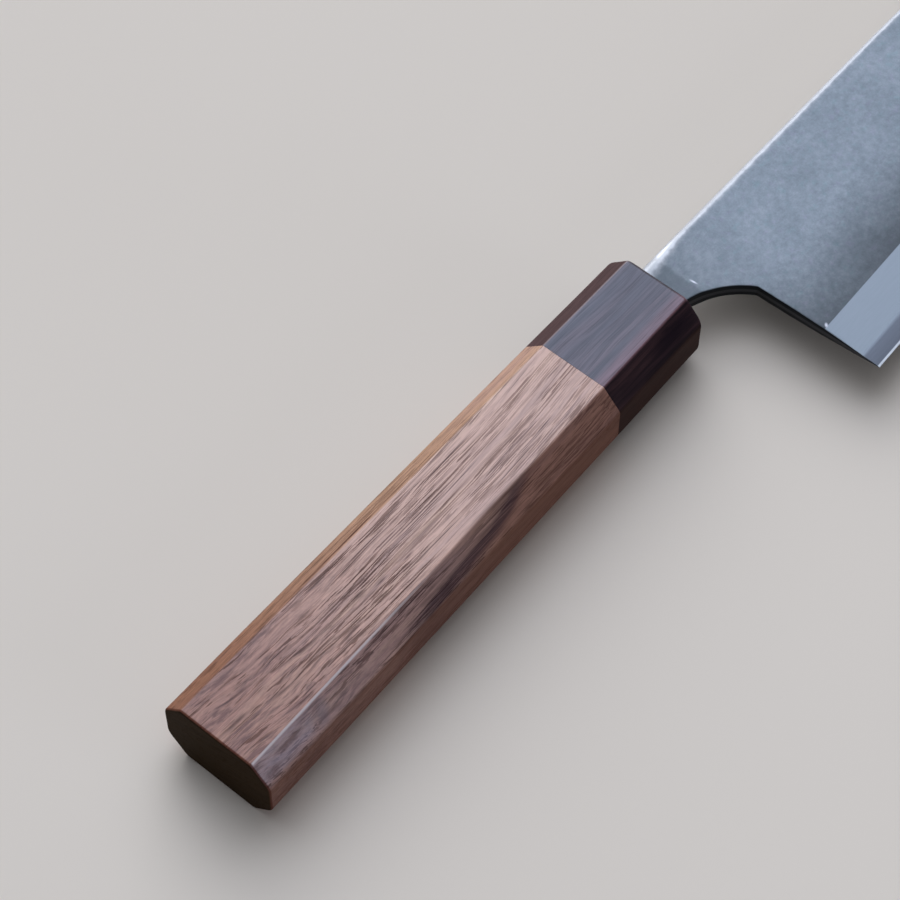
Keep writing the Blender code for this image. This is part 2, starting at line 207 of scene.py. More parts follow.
def sweep(start, start_slope, end, end_angle):
    """A cubic curve from start on a slope to end at an angle, its handles towards the tangents' crossing."""
    start, end = np.array(start), np.array(end)
    end_slope = math.tan(end_angle)
    cross_x = (end[1] - start[1] + start_slope * start[0] - end_slope * end[0]) / (start_slope - end_slope)
    cross = np.array((cross_x, start[1] + start_slope * (cross_x - start[0])))
    leave = start + LEAVE_SHARE * (cross - start)
    meet = end + MEET_SHARE * (cross - end)
    t = np.linspace(0, 1, 400)[:, None]
    points = (1 - t) ** 3 * start + 3 * t * (1 - t) ** 2 * leave + 3 * t**2 * (1 - t) * meet + t**3 * end
    return points[:, 0], points[:, 1]


def spine_line():
    bend = (SPINE_STRAIGHT, SPINE_HEIGHT - SPINE_FALL * SPINE_STRAIGHT)
    x, y = sweep(bend, -SPINE_FALL, (TIP_X, TIP_BLUNTNESS / 2 - TIP_DEPTH), -SPINE_TIP_ANGLE)
    tang_x = (TAIL_X, MACHI_X, NECK_BACK_X)
    tang_y = (TANG_TAIL_HEIGHT / 2, TANG_HEIGHT / 2, SPINE_HEIGHT)
    return np.append(tang_x, x), np.append(tang_y, y)


def edge_line():
    bend = (HEEL_X + EDGE_FLAT, EDGE_RISE * EDGE_FLAT - HEEL_DEPTH)
    x, y = sweep(bend, EDGE_RISE, (TIP_X, -TIP_BLUNTNESS / 2 - TIP_DEPTH), EDGE_TIP_ANGLE)
    return np.append(TAIL_X, x), np.append(EDGE_RISE * (TAIL_X - HEEL_X) - HEEL_DEPTH, y)


SPINE = spine_line()
EDGE = edge_line()


def spine_y(x):
    return np.interp(x, *SPINE)


def edge_y(x):
    return np.interp(x, *EDGE)


def lowness(x):
    """The blade's height at x against the height up to which its features shrink with it."""
    return np.minimum(1.0, (spine_y(x) - edge_y(x)) / FULL_SECTION_HEIGHT)


def thickness(x):
    places = (TAIL_X, MACHI_X, NECK_STEP_X - NECK_STEP_LENGTH / 3, NECK_STEP_END_X, TIP_X)
    sizes = (TANG_TAIL_THICKNESS, MACHI_THICKNESS, NECK_THICKNESS, SPINE_THICKNESS, TIP_THICKNESS)
    return np.interp(x, places, sizes)


def taper(x):
    """The blade's thickness at x against the spine's full one, for the features that shrink with it."""
    places = (TAIL_X, MACHI_X, *TAPER_STEP, TIP_X)
    sizes = (TANG_TAIL_THICKNESS, NECK_THICKNESS, NECK_THICKNESS, SPINE_THICKNESS, TIP_THICKNESS)
    return np.interp(x, places, sizes) / SPINE_THICKNESS


def crown_depth(x):
    """How far down from the spine its rounding reaches."""
    places = (MACHI_X, NECK_BACK_X, 0.0, HEEL_X, TIP_X)
    depths = (TANG_ROUNDING, NECK_CROWN_DEPTH, NECK_CROWN_DEPTH, CROWN_DEPTH, CROWN_DEPTH * TIP_SHARE)
    return np.interp(x, places, depths) * lowness(x)


def crown_rise(x):
    """How far in from the face the spine's rounding reaches."""
    places = (MACHI_X, NECK_BACK_X, NECK_STEP_X, NECK_STEP_END_X, TIP_X)
    rises = (TANG_ROUNDING, NECK_CROWN_RISE, NECK_CROWN_RISE, CROWN_RISE, CROWN_RISE * TIP_SHARE)
    return np.minimum(np.interp(x, places, rises), thickness(x) / 2)


def crown_share(x, z):
    return np.clip((z - thickness(x) / 2 + crown_rise(x)) / crown_rise(x), 0, 1)


def crown_y(x, z):
    """Height at which the spine's rounding has half thickness z."""
    return spine_y(x) - crown_depth(x) * (1 - np.sqrt(1 - crown_share(x, z) ** 2))


def crown_foot(x):
    return spine_y(x) - crown_depth(x)


def core_half(x):
    return CORE_THICKNESS / 2 * taper(x)


def weld_z(x):
    return core_half(x) + WELD_SEAM


def honed_y(x):
    return edge_y(x) + HONED_HEIGHT * lowness(x)


def shinogi_y(x):
    return edge_y(x) + BEVEL_HEIGHT * lowness(x)


def on_bevel(x, z):
    """Height at which the bevel's half thickness is z."""
    thin = HONED_THICKNESS / 2 * np.minimum(taper(x), 1.0)
    thick = SHINOGI_THICKNESS / 2 * taper(x)
    return honed_y(x) + (shinogi_y(x) - honed_y(x)) * (z - thin) / (thick - thin)


def between(y, low, high):
    """Half thickness at height y on the line through two (height, half thickness) pairs."""
    return low[1] + (high[1] - low[1]) * (y - low[0]) / (high[0] - low[0])


def choil_arcs():
    """The choil's small corner arc and its long one, as centre, radius and the angles from start to end."""
    heel_corner = np.array((HEEL_X, -HEEL_DEPTH))
    meeting = np.array((HEEL_X - HEEL_LEAN, -NECK_DEPTH - CHOIL_DROP))
    up = (meeting - heel_corner) / np.linalg.norm(meeting - heel_corner)
    back = np.array((-up[1], up[0]))
    rise = CHOIL_RADIUS - CHOIL_DROP
    centre = meeting - (math.sqrt(CHOIL_RADIUS**2 - rise**2), rise)
    foot = heel_corner + back * CHOIL_CORNER_RADIUS
    along_line = float((centre - foot) @ up)
    aside = float(np.linalg.norm(centre - foot - up * along_line))
    corner = foot + up * (along_line + math.sqrt((CHOIL_RADIUS - CHOIL_CORNER_RADIUS) ** 2 - aside**2))
    low = math.atan2(-back[1], -back[0])
    high = math.atan2(*(corner - centre)[::-1])
    return (corner, CHOIL_CORNER_RADIUS, low, high), (centre, CHOIL_RADIUS, high, math.pi / 2)


CORNER_ARC, LONG_ARC = choil_arcs()
HEEL_SLOPE = HEEL_LEAN / (HEEL_DEPTH - NECK_DEPTH - CHOIL_DROP)


def heel_x(y):
    return HEEL_X - HEEL_SLOPE * (y + HEEL_DEPTH)


def clearance(x, y):
    """How far (x, y) lies inside the steel from the sawn outline of heel, choil, neck and tang."""
    (corner, small, low, high), (centre, large, *_) = CORNER_ARC, LONG_ARC
    heel = (x - heel_x(y)) / math.hypot(1, HEEL_SLOPE)
    below_corner, before_arc = (
        (y - corner[1]) * math.cos(angle) - (x - corner[0]) * math.sin(angle) < 0 for angle in (low, high)
    )
    turn = np.hypot(x - corner[0], y - corner[1]) - small
    arc = np.hypot(x - centre[0], y - centre[1]) - large
    feet = (-TANG_TAIL_HEIGHT / 2, -TANG_HEIGHT / 2, -NECK_DEPTH)
    neck = y - np.interp(x, (TAIL_X, MACHI_X, NECK_BACK_X), feet)
    choil = np.where(below_corner, heel, np.where(before_arc, turn, arc))
    return np.where(x > centre[0], choil, neck)


def face_z(x, y):
    """Half thickness of the finished blade, before the forging marks."""
    share = taper(x)
    edge = (edge_y(x), EDGE_THICKNESS / 2 * np.minimum(share, 1.0))
    honed = (honed_y(x), HONED_THICKNESS / 2 * np.minimum(share, 1.0))
    shinogi = (shinogi_y(x), SHINOGI_THICKNESS / 2 * share)
    shoulder = (shinogi[0] + SHOULDER_WIDTH * lowness(x), SHOULDER_THICKNESS / 2 * share)
    foot = (crown_foot(x), thickness(x) / 2)
    roll, flat = between(y, shinogi, shoulder), np.minimum(between(y, shoulder, foot), foot[1])
    softness = SHOULDER_SOFTNESS * share
    gap = np.clip(roll - flat, -8 * softness, 8 * softness)
    forged = np.minimum(roll, flat) - softness * np.log1p(np.exp(-np.abs(gap) / softness))
    forged = np.where(y < shinogi[0] + SHOULDER_WIDTH * lowness(x) * 2, forged, flat)
    z = np.where(y < shinogi[0], between(y, honed, shinogi), forged)
    z = np.where(y < honed[0], between(y, edge, honed), z)
    across = np.clip((y - foot[0]) / crown_depth(x), 0, 1)
    crown = thickness(x) / 2 - crown_rise(x) * (1 - np.sqrt(1 - across**2))
    return np.where(y > foot[0], crown, np.minimum(z, foot[1]))


def ripple(x, y, length, seed):
    return np.array([noise.noise((a / length, b / length, seed)) for a, b in zip(x, y)])


def smooth(value, start, end):
    t = np.clip((value - start) / (end - start), 0, 1)
    return t * t * (3 - 2 * t)


def forging(x, y, facing):
    """Depth of the hammer's and the scale's marks. They leave the bevel, the shinogi and the welds alone."""
    on_face = smooth(y - shinogi_y(x), 0.0, MARKS_TO_SHINOGI) * smooth(spine_y(x) - y, 0.0, MARKS_TO_SPINE)
    near_neck = 1 - smooth(x, HEEL_X / 2, NECK_MARKS_END)

    def waves(rows):
        return sum(depth * ripple(x, y, length, seed * facing) for depth, length, seed in rows)

    return on_face * (waves(FACE_WAVES) + near_neck * waves(NECK_WAVES)) * smooth(x, MACHI_X, 0.0)


def rounded_cut(z, x, y, room):
    """z with its corner at the sawn outline rounded, by no more than the room that the solid has there."""
    radius = np.clip(np.minimum(CUT_ROUNDING, room * 0.6), 1e-9, None)
    inside = np.clip(radius - clearance(x, y), 0, radius)
    return z - radius + np.sqrt(radius**2 - inside**2)


def add_object(name, data):
    made = bpy.data.objects.new(name, data)
    bpy.context.scene.collection.objects.link(made)
    return made


def finish_mesh(name, mesh, material, node):
    """Makes a mesh a piece: drops loose points, turns faces outwards, gives it material, body and solid."""
    form = bmesh.new()
    form.from_mesh(mesh)
    for vert in [v for v in form.verts if not v.link_faces]:
        form.verts.remove(vert)
    bmesh.ops.recalc_face_normals(form, faces=form.faces)
    form.to_mesh(mesh)
    form.free()
    mesh.name = name
    mesh.transform(Matrix.Translation(ORIGIN))
    mesh.shade_smooth()
    mesh.set_sharp_from_angle(angle=math.radians(SHARP_ANGLE))
    mesh.materials.append(material)
    piece = add_object(name, mesh)
    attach(piece, "root")
    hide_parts(node)


def plate(outline, lines, loose, top, bottom):
    """A closed mesh from its side view: triangles through lines and loose points, lifted to top and bottom.

    Top and bottom give z for arrays of x and y, and where they meet, the plate runs out to an edge.
    """
    points, edges = [], [(len(outline) - 1, 0)]
    for line in (outline, *lines):
        first = len(points)
        points += [Vector((x / MM, y / MM)) for x, y in line]
        edges += [(i, i + 1) for i in range(first, len(points) - 1)]
    points += [Vector((x / MM, y / MM)) for x, y in loose]
    flat, _, triangles, *_ = delaunay_2d_cdt(points, edges, [], 1, ONE_POINT_MM)
    x = np.array([point.x for point in flat]) * MM
    y = np.array([point.y for point in flat]) * MM
    upper, lower = top(x, y), bottom(x, y)
    met = upper - lower < TOUCHING
    under = [i if met[i] else len(flat) + i for i in range(len(flat))]
    faces, sides = [], []
    for ring in triangles:
        faces += [ring, [under[i] for i in ring]]
        sides += zip(ring, ring[1:] + ring[:1])
    known = set(sides)
    for a, b in sides:
        if (b, a) not in known:
            faces.append(list(dict.fromkeys((a, under[a], under[b], b))))
    faces = [face for face in faces if len(set(face)) > 2]
    mesh = bpy.data.meshes.new("plate")
    x, y = np.append(x, x), np.append(y, y)
    mesh.from_pydata(np.column_stack((x, y, np.append(upper, lower))).tolist(), [], faces)
    mesh.update()
    return mesh, x, y


def label_points(mesh, x, y, **labels):
    """Gives each point of a mesh its values for the material."""
    labels["from_cut"] = np.clip(clearance(x, y), 0, None) / MM
    for name, values in labels.items():
        layer = mesh.attributes.new(name, "FLOAT", "POINT")
        layer.data.foreach_set("value", np.asarray(values, np.float32))


def stations():
    """Places along the blade where its outlines have a point: closer at the neck, the heel and the tip."""
    tang = np.linspace(TAIL_X, MACHI_X, 12)
    neck = np.arange(NECK_BACK_X, NECK_STATIONS_END, NECK_SPACING)
    blade = np.arange(NECK_STATIONS_END, TIP_STATIONS_START, BLADE_SPACING)
    tip = TIP_X - (TIP_X - TIP_STATIONS_START) * np.linspace(1, 0, 60) ** 1.4
    return np.unique(np.concatenate((tang, neck, blade, tip)).round(7))


def cut_curve(inset, low_y):
    """The sawn outline of heel, choil and neck, moved into the steel by inset, from low_y up and back."""
    choil = []
    for (centre, radius, start, end), steps in ((CORNER_ARC, 12), (LONG_ARC, 44)):
        for a in np.linspace(start, end, steps)[1 if choil else 0 :]:
            reach = radius + inset
            choil.append((float(centre[0]) + reach * math.cos(a), float(centre[1]) + reach * math.sin(a)))
    shift = inset * math.hypot(1, HEEL_SLOPE)
    heel = [(heel_x(y) + shift, y) for y in np.linspace(low_y, choil[0][1], 40)[:-1]]
    return heel + choil + [(x, -NECK_DEPTH + inset) for x in np.linspace(choil[-1][0], NECK_BACK_X, 8)[1:]]


FILLET_STEPS = 5
FILLET = [CUT_ROUNDING * (1 - math.cos(a)) for a in np.linspace(0, math.pi / 2, FILLET_STEPS)][1:]
TANG_FOOT = [(MACHI_X, -TANG_HEIGHT / 2), (TAIL_X, -TANG_TAIL_HEIGHT / 2)]


def trace(height, along):
    return [(x, float(height(x))) for x in along]


def part_way(low, high, share):
    return lambda x: low(x) + (high(x) - low(x)) * share


def blade_lines(top_of, bottom_of):
    """A layer's outline between two heights, lines beside its sawn cut, its stations and those past it."""
    corner_y = float(bottom_of(heel_x(bottom_of(HEEL_X))))
    corner_x = float(heel_x(corner_y))
    along = stations()
    insets = [corner_x + inset for inset in FILLET]
    below = np.unique(np.append(along[along > corner_x + BESIDE_CORNER], insets))
    outline = trace(top_of, along) + trace(bottom_of, below[::-1]) + cut_curve(0.0, corner_y) + TANG_FOOT
    eased = []
    for inset in FILLET:
        foot = (corner_x + inset, float(bottom_of(corner_x + inset)))
        eased.append([foot] + cut_curve(inset, foot[1])[1:])
    return outline, eased, along, along[along > corner_x + BESIDE_CUT]


def inside_points(along, heights):
    """Points (x, y) at each station for each height function that keep clear of the sawn outline."""
    points = [point for height in heights for point in trace(height, along)]
    return [(x, y) for x, y in points if x > 0 and clearance(x, y) > CLEAR_OF_CUT]


def build_cladding(name, node, facing, material):
    def exit_y(x):
        return on_bevel(x, weld_z(x))

    outline, eased, along, front = blade_lines(lambda x: crown_y(x, weld_z(x)), exit_y)
    rows = []
    for share in (0.15, 0.35, 0.55, 0.72, 0.86, 0.96, 1.0):
        rows.append(trace(lambda x: crown_line(x, share), along))
    for offset in (-BESIDE_SHINOGI, 0.0, BESIDE_SHINOGI):
        rows.append(trace(lambda x: shinogi_y(x) + offset * lowness(x), front))

    heights = [part_way(shinogi_y, crown_foot, share) for share in np.linspace(0.03, 0.97, 26)]
    heights += [part_way(exit_y, shinogi_y, share) for share in (0.1, 0.3, 0.5, 0.7, 0.9)]
    loose = inside_points(along, heights)

    def top(x, y):
        inner = weld_z(x)
        z = face_z(x, y)
        at_weld = (y > crown_y(x, inner) - TOUCHING) | (y < exit_y(x) + TOUCHING)
        z = rounded_cut(z, x, y, z - inner) + forging(x, y, facing)
        return np.where(at_weld, inner, np.maximum(z, inner + LEAST_CLADDING))

    mesh, x, y = plate(outline, eased + rows, loose, top, lambda x, y: weld_z(x))
    over_crown = (y - crown_foot(x)) / crown_depth(x)
    label_points(mesh, x, y, above_shinogi=(y - shinogi_y(x)) / MM, over_crown=over_crown)
    if facing < 0:
        mesh.transform(Matrix.Diagonal((1, 1, -1, 1)))
    finish_mesh(name, mesh, material, node)


def crown_line(x, share):
    """Height at a share of the way over the spine's rounding, from the weld to its foot, by angle."""
    start = np.arcsin(crown_share(x, weld_z(x)))
    return crown_foot(x) + crown_depth(x) * np.cos(start + (math.pi / 2 - start) * share)


def build_core(material):
    def top_y(x):
        return crown_y(x, core_half(x))

    def exit_y(x):
        return on_bevel(x, core_half(x))

    outline, eased, along, front = blade_lines(top_y, edge_y)
    rows = [trace(exit_y, front), trace(honed_y, front)]
    loose = inside_points(along[::3], [part_way(exit_y, top_y, 0.5)])
    loose += inside_points(along, [part_way(honed_y, exit_y, 0.5)])

    def top(x, y):
        bare = face_z(x, y)
        room = np.minimum(core_half(x) - bare, bare * 0.8)
        ground = rounded_cut(bare, x, y, np.clip(room, 0, None))
        return np.where(y < exit_y(x), np.minimum(ground, core_half(x)), core_half(x))

    mesh, x, y = plate(outline, eased + rows, loose, top, lambda x, y: -top(x, y))
    label_points(mesh, x, y, above_edge=(y - edge_y(x)) / MM)
    finish_mesh("edge_core", mesh, material, "core_steel")


RIDGE_STEPS = 6
FACET_STEPS = 8
RIM_STEPS = 10


def octagon(x, inset=0.0, softening=0.0):
    """The handle's section at x as points (y, z), drawn in by inset, with ridges rounder by softening."""
    half_height = np.interp(x, (BUTT_X, 0.0), (BUTT_HEIGHT / 2, FRONT_HEIGHT / 2)) - inset
    half_thickness = HANDLE_THICKNESS / 2 - inset
    slant = math.hypot(FACET_RUN, FACET_DROP)
    shrink = inset * (slant - FACET_RUN - FACET_DROP)
    run, drop = FACET_RUN + shrink / FACET_DROP, FACET_DROP + shrink / FACET_RUN
    high, wide = (half_height, half_thickness - drop), (half_height - run, half_thickness)
    corners = [high, wide, (-wide[0], wide[1]), (-high[0], high[1])]
    corners = np.array(corners + [(-y, -z) for y, z in corners])
    arcs = []
    near_end = max(smooth(x, *FRONT_WEAR), smooth(x, *REAR_WEAR))
    for i, corner in enumerate(corners):
        before, after = corners[i - 1] - corner, corners[(i + 1) % 8] - corner
        before, after = before / np.linalg.norm(before), after / np.linalg.norm(after)
        wear = 1 + RIDGE_WEAR * noise.noise((x / HAND_WORK_LENGTH, i * 3.7, 0.5))
        if i % 4 in (0, 3):
            wear += SIDE_RIDGE_WEAR * (1 + near_end)
        half_turn = math.acos(float(before @ after)) / 2
        reach = (RIDGE_RADIUS * wear + inset * softening) / math.tan(half_turn)
        t = np.linspace(0, 1, RIDGE_STEPS + 1)[:, None]
        arcs.append(corner + reach * ((1 - t) ** 2 * before + t**2 * after))
    ring = []
    for i, arc in enumerate(arcs):
        start, end = arc[-1], arcs[(i + 1) % 8][0]
        t = np.linspace(0, 1, FACET_STEPS + 1)[1:-1, None]
        facet = start + (end - start) * t
        outward = np.array((end[1] - start[1], start[0] - end[0]))
        outward /= np.linalg.norm(outward)
        for n, point in enumerate(facet):
            bow = math.sin(math.pi * float(t[n, 0]))
            spot = (x / HAND_WORK_LENGTH, *(float(c) / HAND_WORK_WIDTH for c in point))
            facet[n] = point - outward * HAND_WORK * bow * (0.5 + 0.5 * noise.noise(spot))
        ring += [arc, facet]
    return np.concatenate(ring)


def ring_at(x, section):
    return [(x, y, z) for y, z in section]


def rounded_end(end_x, inwards, radius, softening):
    """Rings over a rounded rim, from the end face to where the rim meets the facets."""
    rings = []
    for angle in np.linspace(0, math.pi / 2, RIM_STEPS + 1):
        x = end_x + inwards * radius * (1 - math.cos(angle))
        rings.append(ring_at(x, octagon(x, radius * (1 - math.sin(angle)), softening)))
    return rings


def loft(rings, looped=False):
    """A mesh through rings of as many points each: closed on itself if looped, and otherwise capped."""
    size = len(rings[0])
    faces = []
    for n in range(len(rings) if looped else len(rings) - 1):
        near, far = n * size, (n + 1) % len(rings) * size
        for i in range(size):
            j = (i + 1) % size
            faces.append((near + i, near + j, far + j, far + i))
    if not looped:
        last = (len(rings) - 1) * size
        faces += [range(size), range(last, last + size)]
    mesh = bpy.data.meshes.new("loft")
    mesh.from_pydata(sum(rings, []), [], faces)
    return mesh


def bore_ring(x, section):
    angles = np.arctan2(section[:, 1], section[:, 0])
    return ring_at(x, np.column_stack((np.cos(angles), np.sin(angles))) * BORE_RADIUS)


def slot_ring(x, section):
    """The tang's slot at x, seen from the axis at the same angles as the points of section."""
    z = np.linspace(0, thickness(x) / 2, 24)
    top = [(float(crown_y(x, value)) + SLOT_GROWTH, value + SLOT_GROWTH * value / z[-1]) for value in z]
    foot = -(NECK_DEPTH if x > MACHI_X else TANG_HEIGHT / 2) - SLOT_GROWTH
    side = [(y, z[-1] + SLOT_GROWTH) for y in np.linspace(top[-1][0], foot, 24)[1:]]
    bottom = [(foot, value) for value in np.linspace(z[-1] + SLOT_GROWTH, 0, 12)[1:]]
    half = np.array(top + side + bottom)
    around = np.arctan2(half[:, 1], half[:, 0])
    angles = np.arctan2(section[:, 1], section[:, 0])
    reach = np.interp(np.abs(angles), around, np.hypot(half[:, 0], half[:, 1]))
    return ring_at(x, np.column_stack((np.cos(angles), np.sin(angles))) * reach[:, None])


def build_body(material):
    facets = [ring_at(x, octagon(x)) for x in np.linspace(BUTT_X + BUTT_RIM_RADIUS, BODY_FRONT_X, 72)[1:]]
    rings = rounded_end(BUTT_X, 1, BUTT_RIM_RADIUS, BUTT_SOFTENING) + facets
    rings.insert(0, ring_at(BUTT_X, octagon(BUTT_X, BUTT_FACE_INSET, BUTT_SOFTENING)))
    section = octagon(BODY_FRONT_X)
    rings += [bore_ring(BODY_FRONT_X, section), bore_ring(BORE_END_X, section)]
    finish_mesh("walnut_body", loft(rings), material, "handle_body")


def build_ferrule(material):
    section = octagon(JOINT_X)
    rim = rounded_end(0.0, -1, FERRULE_RIM_RADIUS, FERRULE_SOFTENING)
    facets = [ring_at(x, octagon(x)) for x in np.linspace(-FERRULE_RIM_RADIUS, JOINT_X, 20)[1:]]
    front = ring_at(0.0, octagon(0.0, FERRULE_FACE_INSET, FERRULE_SOFTENING))
    rings = [slot_ring(0.0, section), front] + rim + facets
    rings += [bore_ring(JOINT_X, section), bore_ring(BORE_FRONT_X, section)]
    rings += [slot_ring(x, section) for x in (BORE_FRONT_X, MACHI_X, NECK_BACK_X)]
    finish_mesh("dark_ferrule", loft(rings, looped=True), material, "ferrule")


class Nodes:
    """A node tree, with short calls for the nodes that the finishes and the light use."""

    def __init__(self, tree):
        self.tree = tree

    def put(self, socket, value):
        """Links a node's output to a socket, or sets the socket's own value."""
        if isinstance(value, bpy.types.NodeSocket):
            self.tree.links.new(value, socket)
        else:
            socket.default_value = value

    def node(self, kind, inputs=None, **settings):
        made = self.tree.nodes.new(kind)
        for key, value in settings.items():
            setattr(made, key, value)
        for key, value in (inputs or {}).items():
            self.put(made.inputs[key], value)
        return made

    def mapped(self, vector, scale=(1, 1, 1), shift=(0, 0, 0)):
        inputs = {"Vector": vector, "Location": shift, "Scale": scale}
        return self.node("ShaderNodeMapping", inputs).outputs["Vector"]

    def noise(self, vector, scale=1, detail=2, rough=0.5, warp=0):
        inputs = {"Vector": vector, "Scale": scale, "Detail": detail, "Roughness": rough, "Distortion": warp}
        return self.node("ShaderNodeTexNoise", inputs).outputs["Fac"]

    def math(self, operation, *values):
        return self.node("ShaderNodeMath", dict(enumerate(values)), operation=operation).outputs[0]

    def product(self, first, *others):
        for value in others:
            first = self.math("MULTIPLY", first, value)
        return first

    def most(self, first, *others):
        for value in others:
            first = self.math("MAXIMUM", first, value)
        return first

    def linear(self, value, slope, base):
        return self.math("MULTIPLY_ADD", value, slope, base)

    def less(self, first, second):
        return self.math("SUBTRACT", first, second)

    def absolute(self, value):
        return self.math("ABSOLUTE", value)

    def invert(self, mask):
        return self.less(1, mask)

    def range(self, value, low, high, to_low=0, to_high=1, soft=True):
        inputs = {"Value": value, "From Min": low, "From Max": high, "To Min": to_low, "To Max": to_high}
        kind = "SMOOTHSTEP" if soft else "LINEAR"
        return self.node("ShaderNodeMapRange", inputs, interpolation_type=kind).outputs[0]

    def join(self, x, y, z):
        return self.node("ShaderNodeCombineXYZ", {"X": x, "Y": y, "Z": z}).outputs[0]

    def grey(self, value):
        return self.join(value, value, value)

    def ramp(self, value, *stops):
        made = self.node("ShaderNodeValToRGB", {"Fac": value})
        elements = made.color_ramp.elements
        while len(elements) < len(stops):
            elements.new(0.5)
        for element, (place, colour) in zip(elements, stops):
            element.position = place
            element.color = (*colour, 1)
        return made.outputs["Color"]

    def blend(self, share, first, second):
        return self.node("ShaderNodeMix", {0: share, 2: first, 3: second}, data_type="FLOAT").outputs[0]

    def mix(self, share, first, second, blend="MIX"):
        made = self.node("ShaderNodeMix", data_type="RGBA", blend_type=blend)
        for socket, value in ((0, share), (6, first), (7, second)):
            self.put(made.inputs[socket], (*value, 1) if isinstance(value, tuple) else value)
        return made.outputs[2]


class Surface(Nodes):
    """A material. Its x, y and z are millimetres in the knife's own frame, and colour is the one so far."""

    def __init__(self, name):
        self.material = bpy.data.materials.new(name)
        self.material.use_nodes = True
        super().__init__(self.material.node_tree)
        place = self.node("ShaderNodeTexCoord").outputs["Object"]
        self.place = self.mapped(place, (1 / MM,) * 3, tuple(-c / MM for c in ORIGIN))
        self.x, self.y, self.z = self.node("ShaderNodeSeparateXYZ", {"Vector": self.place}).outputs
        self.colour = None

    def attribute(self, name):
        return self.node("ShaderNodeAttribute", attribute_name=name).outputs["Fac"]

    def along(self, start, end, low=0, high=1):
        return self.range(self.x, start, end, low, high)

    def stroke(self, y, *mark):
        """A soft spindle by its place x and y, half length, half width and tilt in degrees."""
        place_x, place_y, half_length, half_width, tilt = mark
        inputs = {"Vector": self.join(self.x, y, 0), "Location": (place_x, place_y, 0)}
        inputs |= {"Rotation": (0, 0, math.radians(tilt)), "Scale": (half_length, half_width, 1)}
        reach = self.node("ShaderNodeMapping", inputs, vector_type="TEXTURE").outputs[0]
        length = self.node("ShaderNodeVectorMath", {0: reach}, operation="LENGTH").outputs["Value"]
        return self.range(length, 1, 0.15)

    def paint(self, colour, *masks):
        """Lays a colour over the one so far, by the product of the masks."""
        self.colour = self.mix(self.product(*masks), self.colour, colour)

    def tint(self, tint, *masks):
        """Multiplies the colour so far by a tint, by the product of the masks or all over."""
        tinted = self.mix(1, self.colour, tint, "MULTIPLY")
        self.colour = self.mix(self.product(*masks), self.colour, tinted) if masks else tinted

    def finish(self, height=None, bump=0, **inputs):
        """Sets the shader's inputs, with the colour so far and a bump by a height in millimetres."""
        inputs["Base_Color"] = self.colour
        if height is not None:
            relief = {"Height": height, "Distance": MM, "Strength": bump}
            inputs["Normal"] = self.node("ShaderNodeBump", relief).outputs["Normal"]
        shader = self.tree.nodes["Principled BSDF"]
        for key, value in inputs.items():
            self.put(shader.inputs[key.replace("_", " ")], value)
        return self.material


class Wood(Surface):
    """A wood of the handle, with masks for the bevels and a flow for the grain.

    from_ridge is how far past the ridge beside the upper facet a point lies, across the handle's height.
    """

    def __init__(self, name):
        super().__init__(name)
        slope = (BUTT_HEIGHT - FRONT_HEIGHT) / 2 / BUTT_X
        ridge = self.linear(self.x, slope, (FRONT_HEIGHT / 2 - FACET_RUN) / MM)
        self.from_ridge = self.less(self.absolute(self.y), ridge)
        self.to_spine = self.range(self.y, -1, 1)
        self.to_belly = self.invert(self.to_spine)
        self.past_ridge = self.past(-0.35, 0.35)
        self.on_side = self.past(4, 4.5)
        self.flow = self.place

    def past(self, start, end):
        """From 0 to 1 across the handle, by the distance past the ridge."""
        return self.range(self.from_ridge, start, end)

    def wander(self, scale):
        """Slow noise about 0 that the grain strays by."""
        return self.less(self.noise(self.mapped(self.place, scale)), 0.5)

    def grain(self, scale, shift=(0, 0, 0), detail=2, rough=0.5, warp=0):
        """Noise along the flow. The scale is small along the grain, and the shift picks another stretch."""
        return self.noise(self.mapped(self.flow, scale, shift), 1, detail, rough, warp)


# The walnut's figure as strokes: place x and y, half length and half width in millimetres, and the tilt
LONG_LINES = (
    (-74, 2.35, 14, 0.15, -1),
    (-71, 1.75, 18, 0.2, -1),
    (-72, 1.25, 12, 0.15, 0),
    (-63, 0.8, 9, 0.15, 1),
    (-85, 5.1, 12, 0.15, -1),
    (-60, 5.6, 9, 0.2, 1),
    (-76, -4.7, 14, 0.15, -1),
    (-52, -5.4, 11, 0.15, 2),
)
FLECKS = (
    (-93.5, -0.9, 2.4, 0.95, -10),
    (-88.5, -2.2, 2.2, 0.35, 0),
    (-99.5, -4.9, 3.6, 0.5, 3),
    (-81, -2.6, 2.2, 0.32, 0),
    (-112.5, 0.2, 5.5, 0.42, -8),
    (-119, -3, 6.5, 0.55, -9),
    (-110, -4.2, 5, 0.45, 5),
    (-124, 2.8, 6, 0.55, -9),
    (-128, -0.9, 4.5, 0.75, -3),
    (-97.5, 6.9, 4, 0.4, -3),
    (-42, -4.1, 4, 0.26, 2),
    (-50, 1.4, 6, 0.2, 2),
    (-37, 6.4, 7, 0.16, 5),
    (-31, 2.2, 4, 0.2, 1),
)


def walnut_flow(s):
    """The grain runs down towards the belly near the butt and up towards the spine near the ferrule."""
    rear = s.most(s.less(-95, s.x), 0)
    fore = s.most(s.math("ADD", s.x, 65), 0)
    bend = s.linear(s.product(fore, fore), 0.001, s.product(rear, rear, 0.0018))
    s.drift = s.product(s.wander((0.04, 0.15, 0.15)), s.linear(s.near_butt, 2.6, 1.5))
    s.flow = s.join(s.x, s.math("ADD", s.less(s.y, bend), s.drift), s.z)


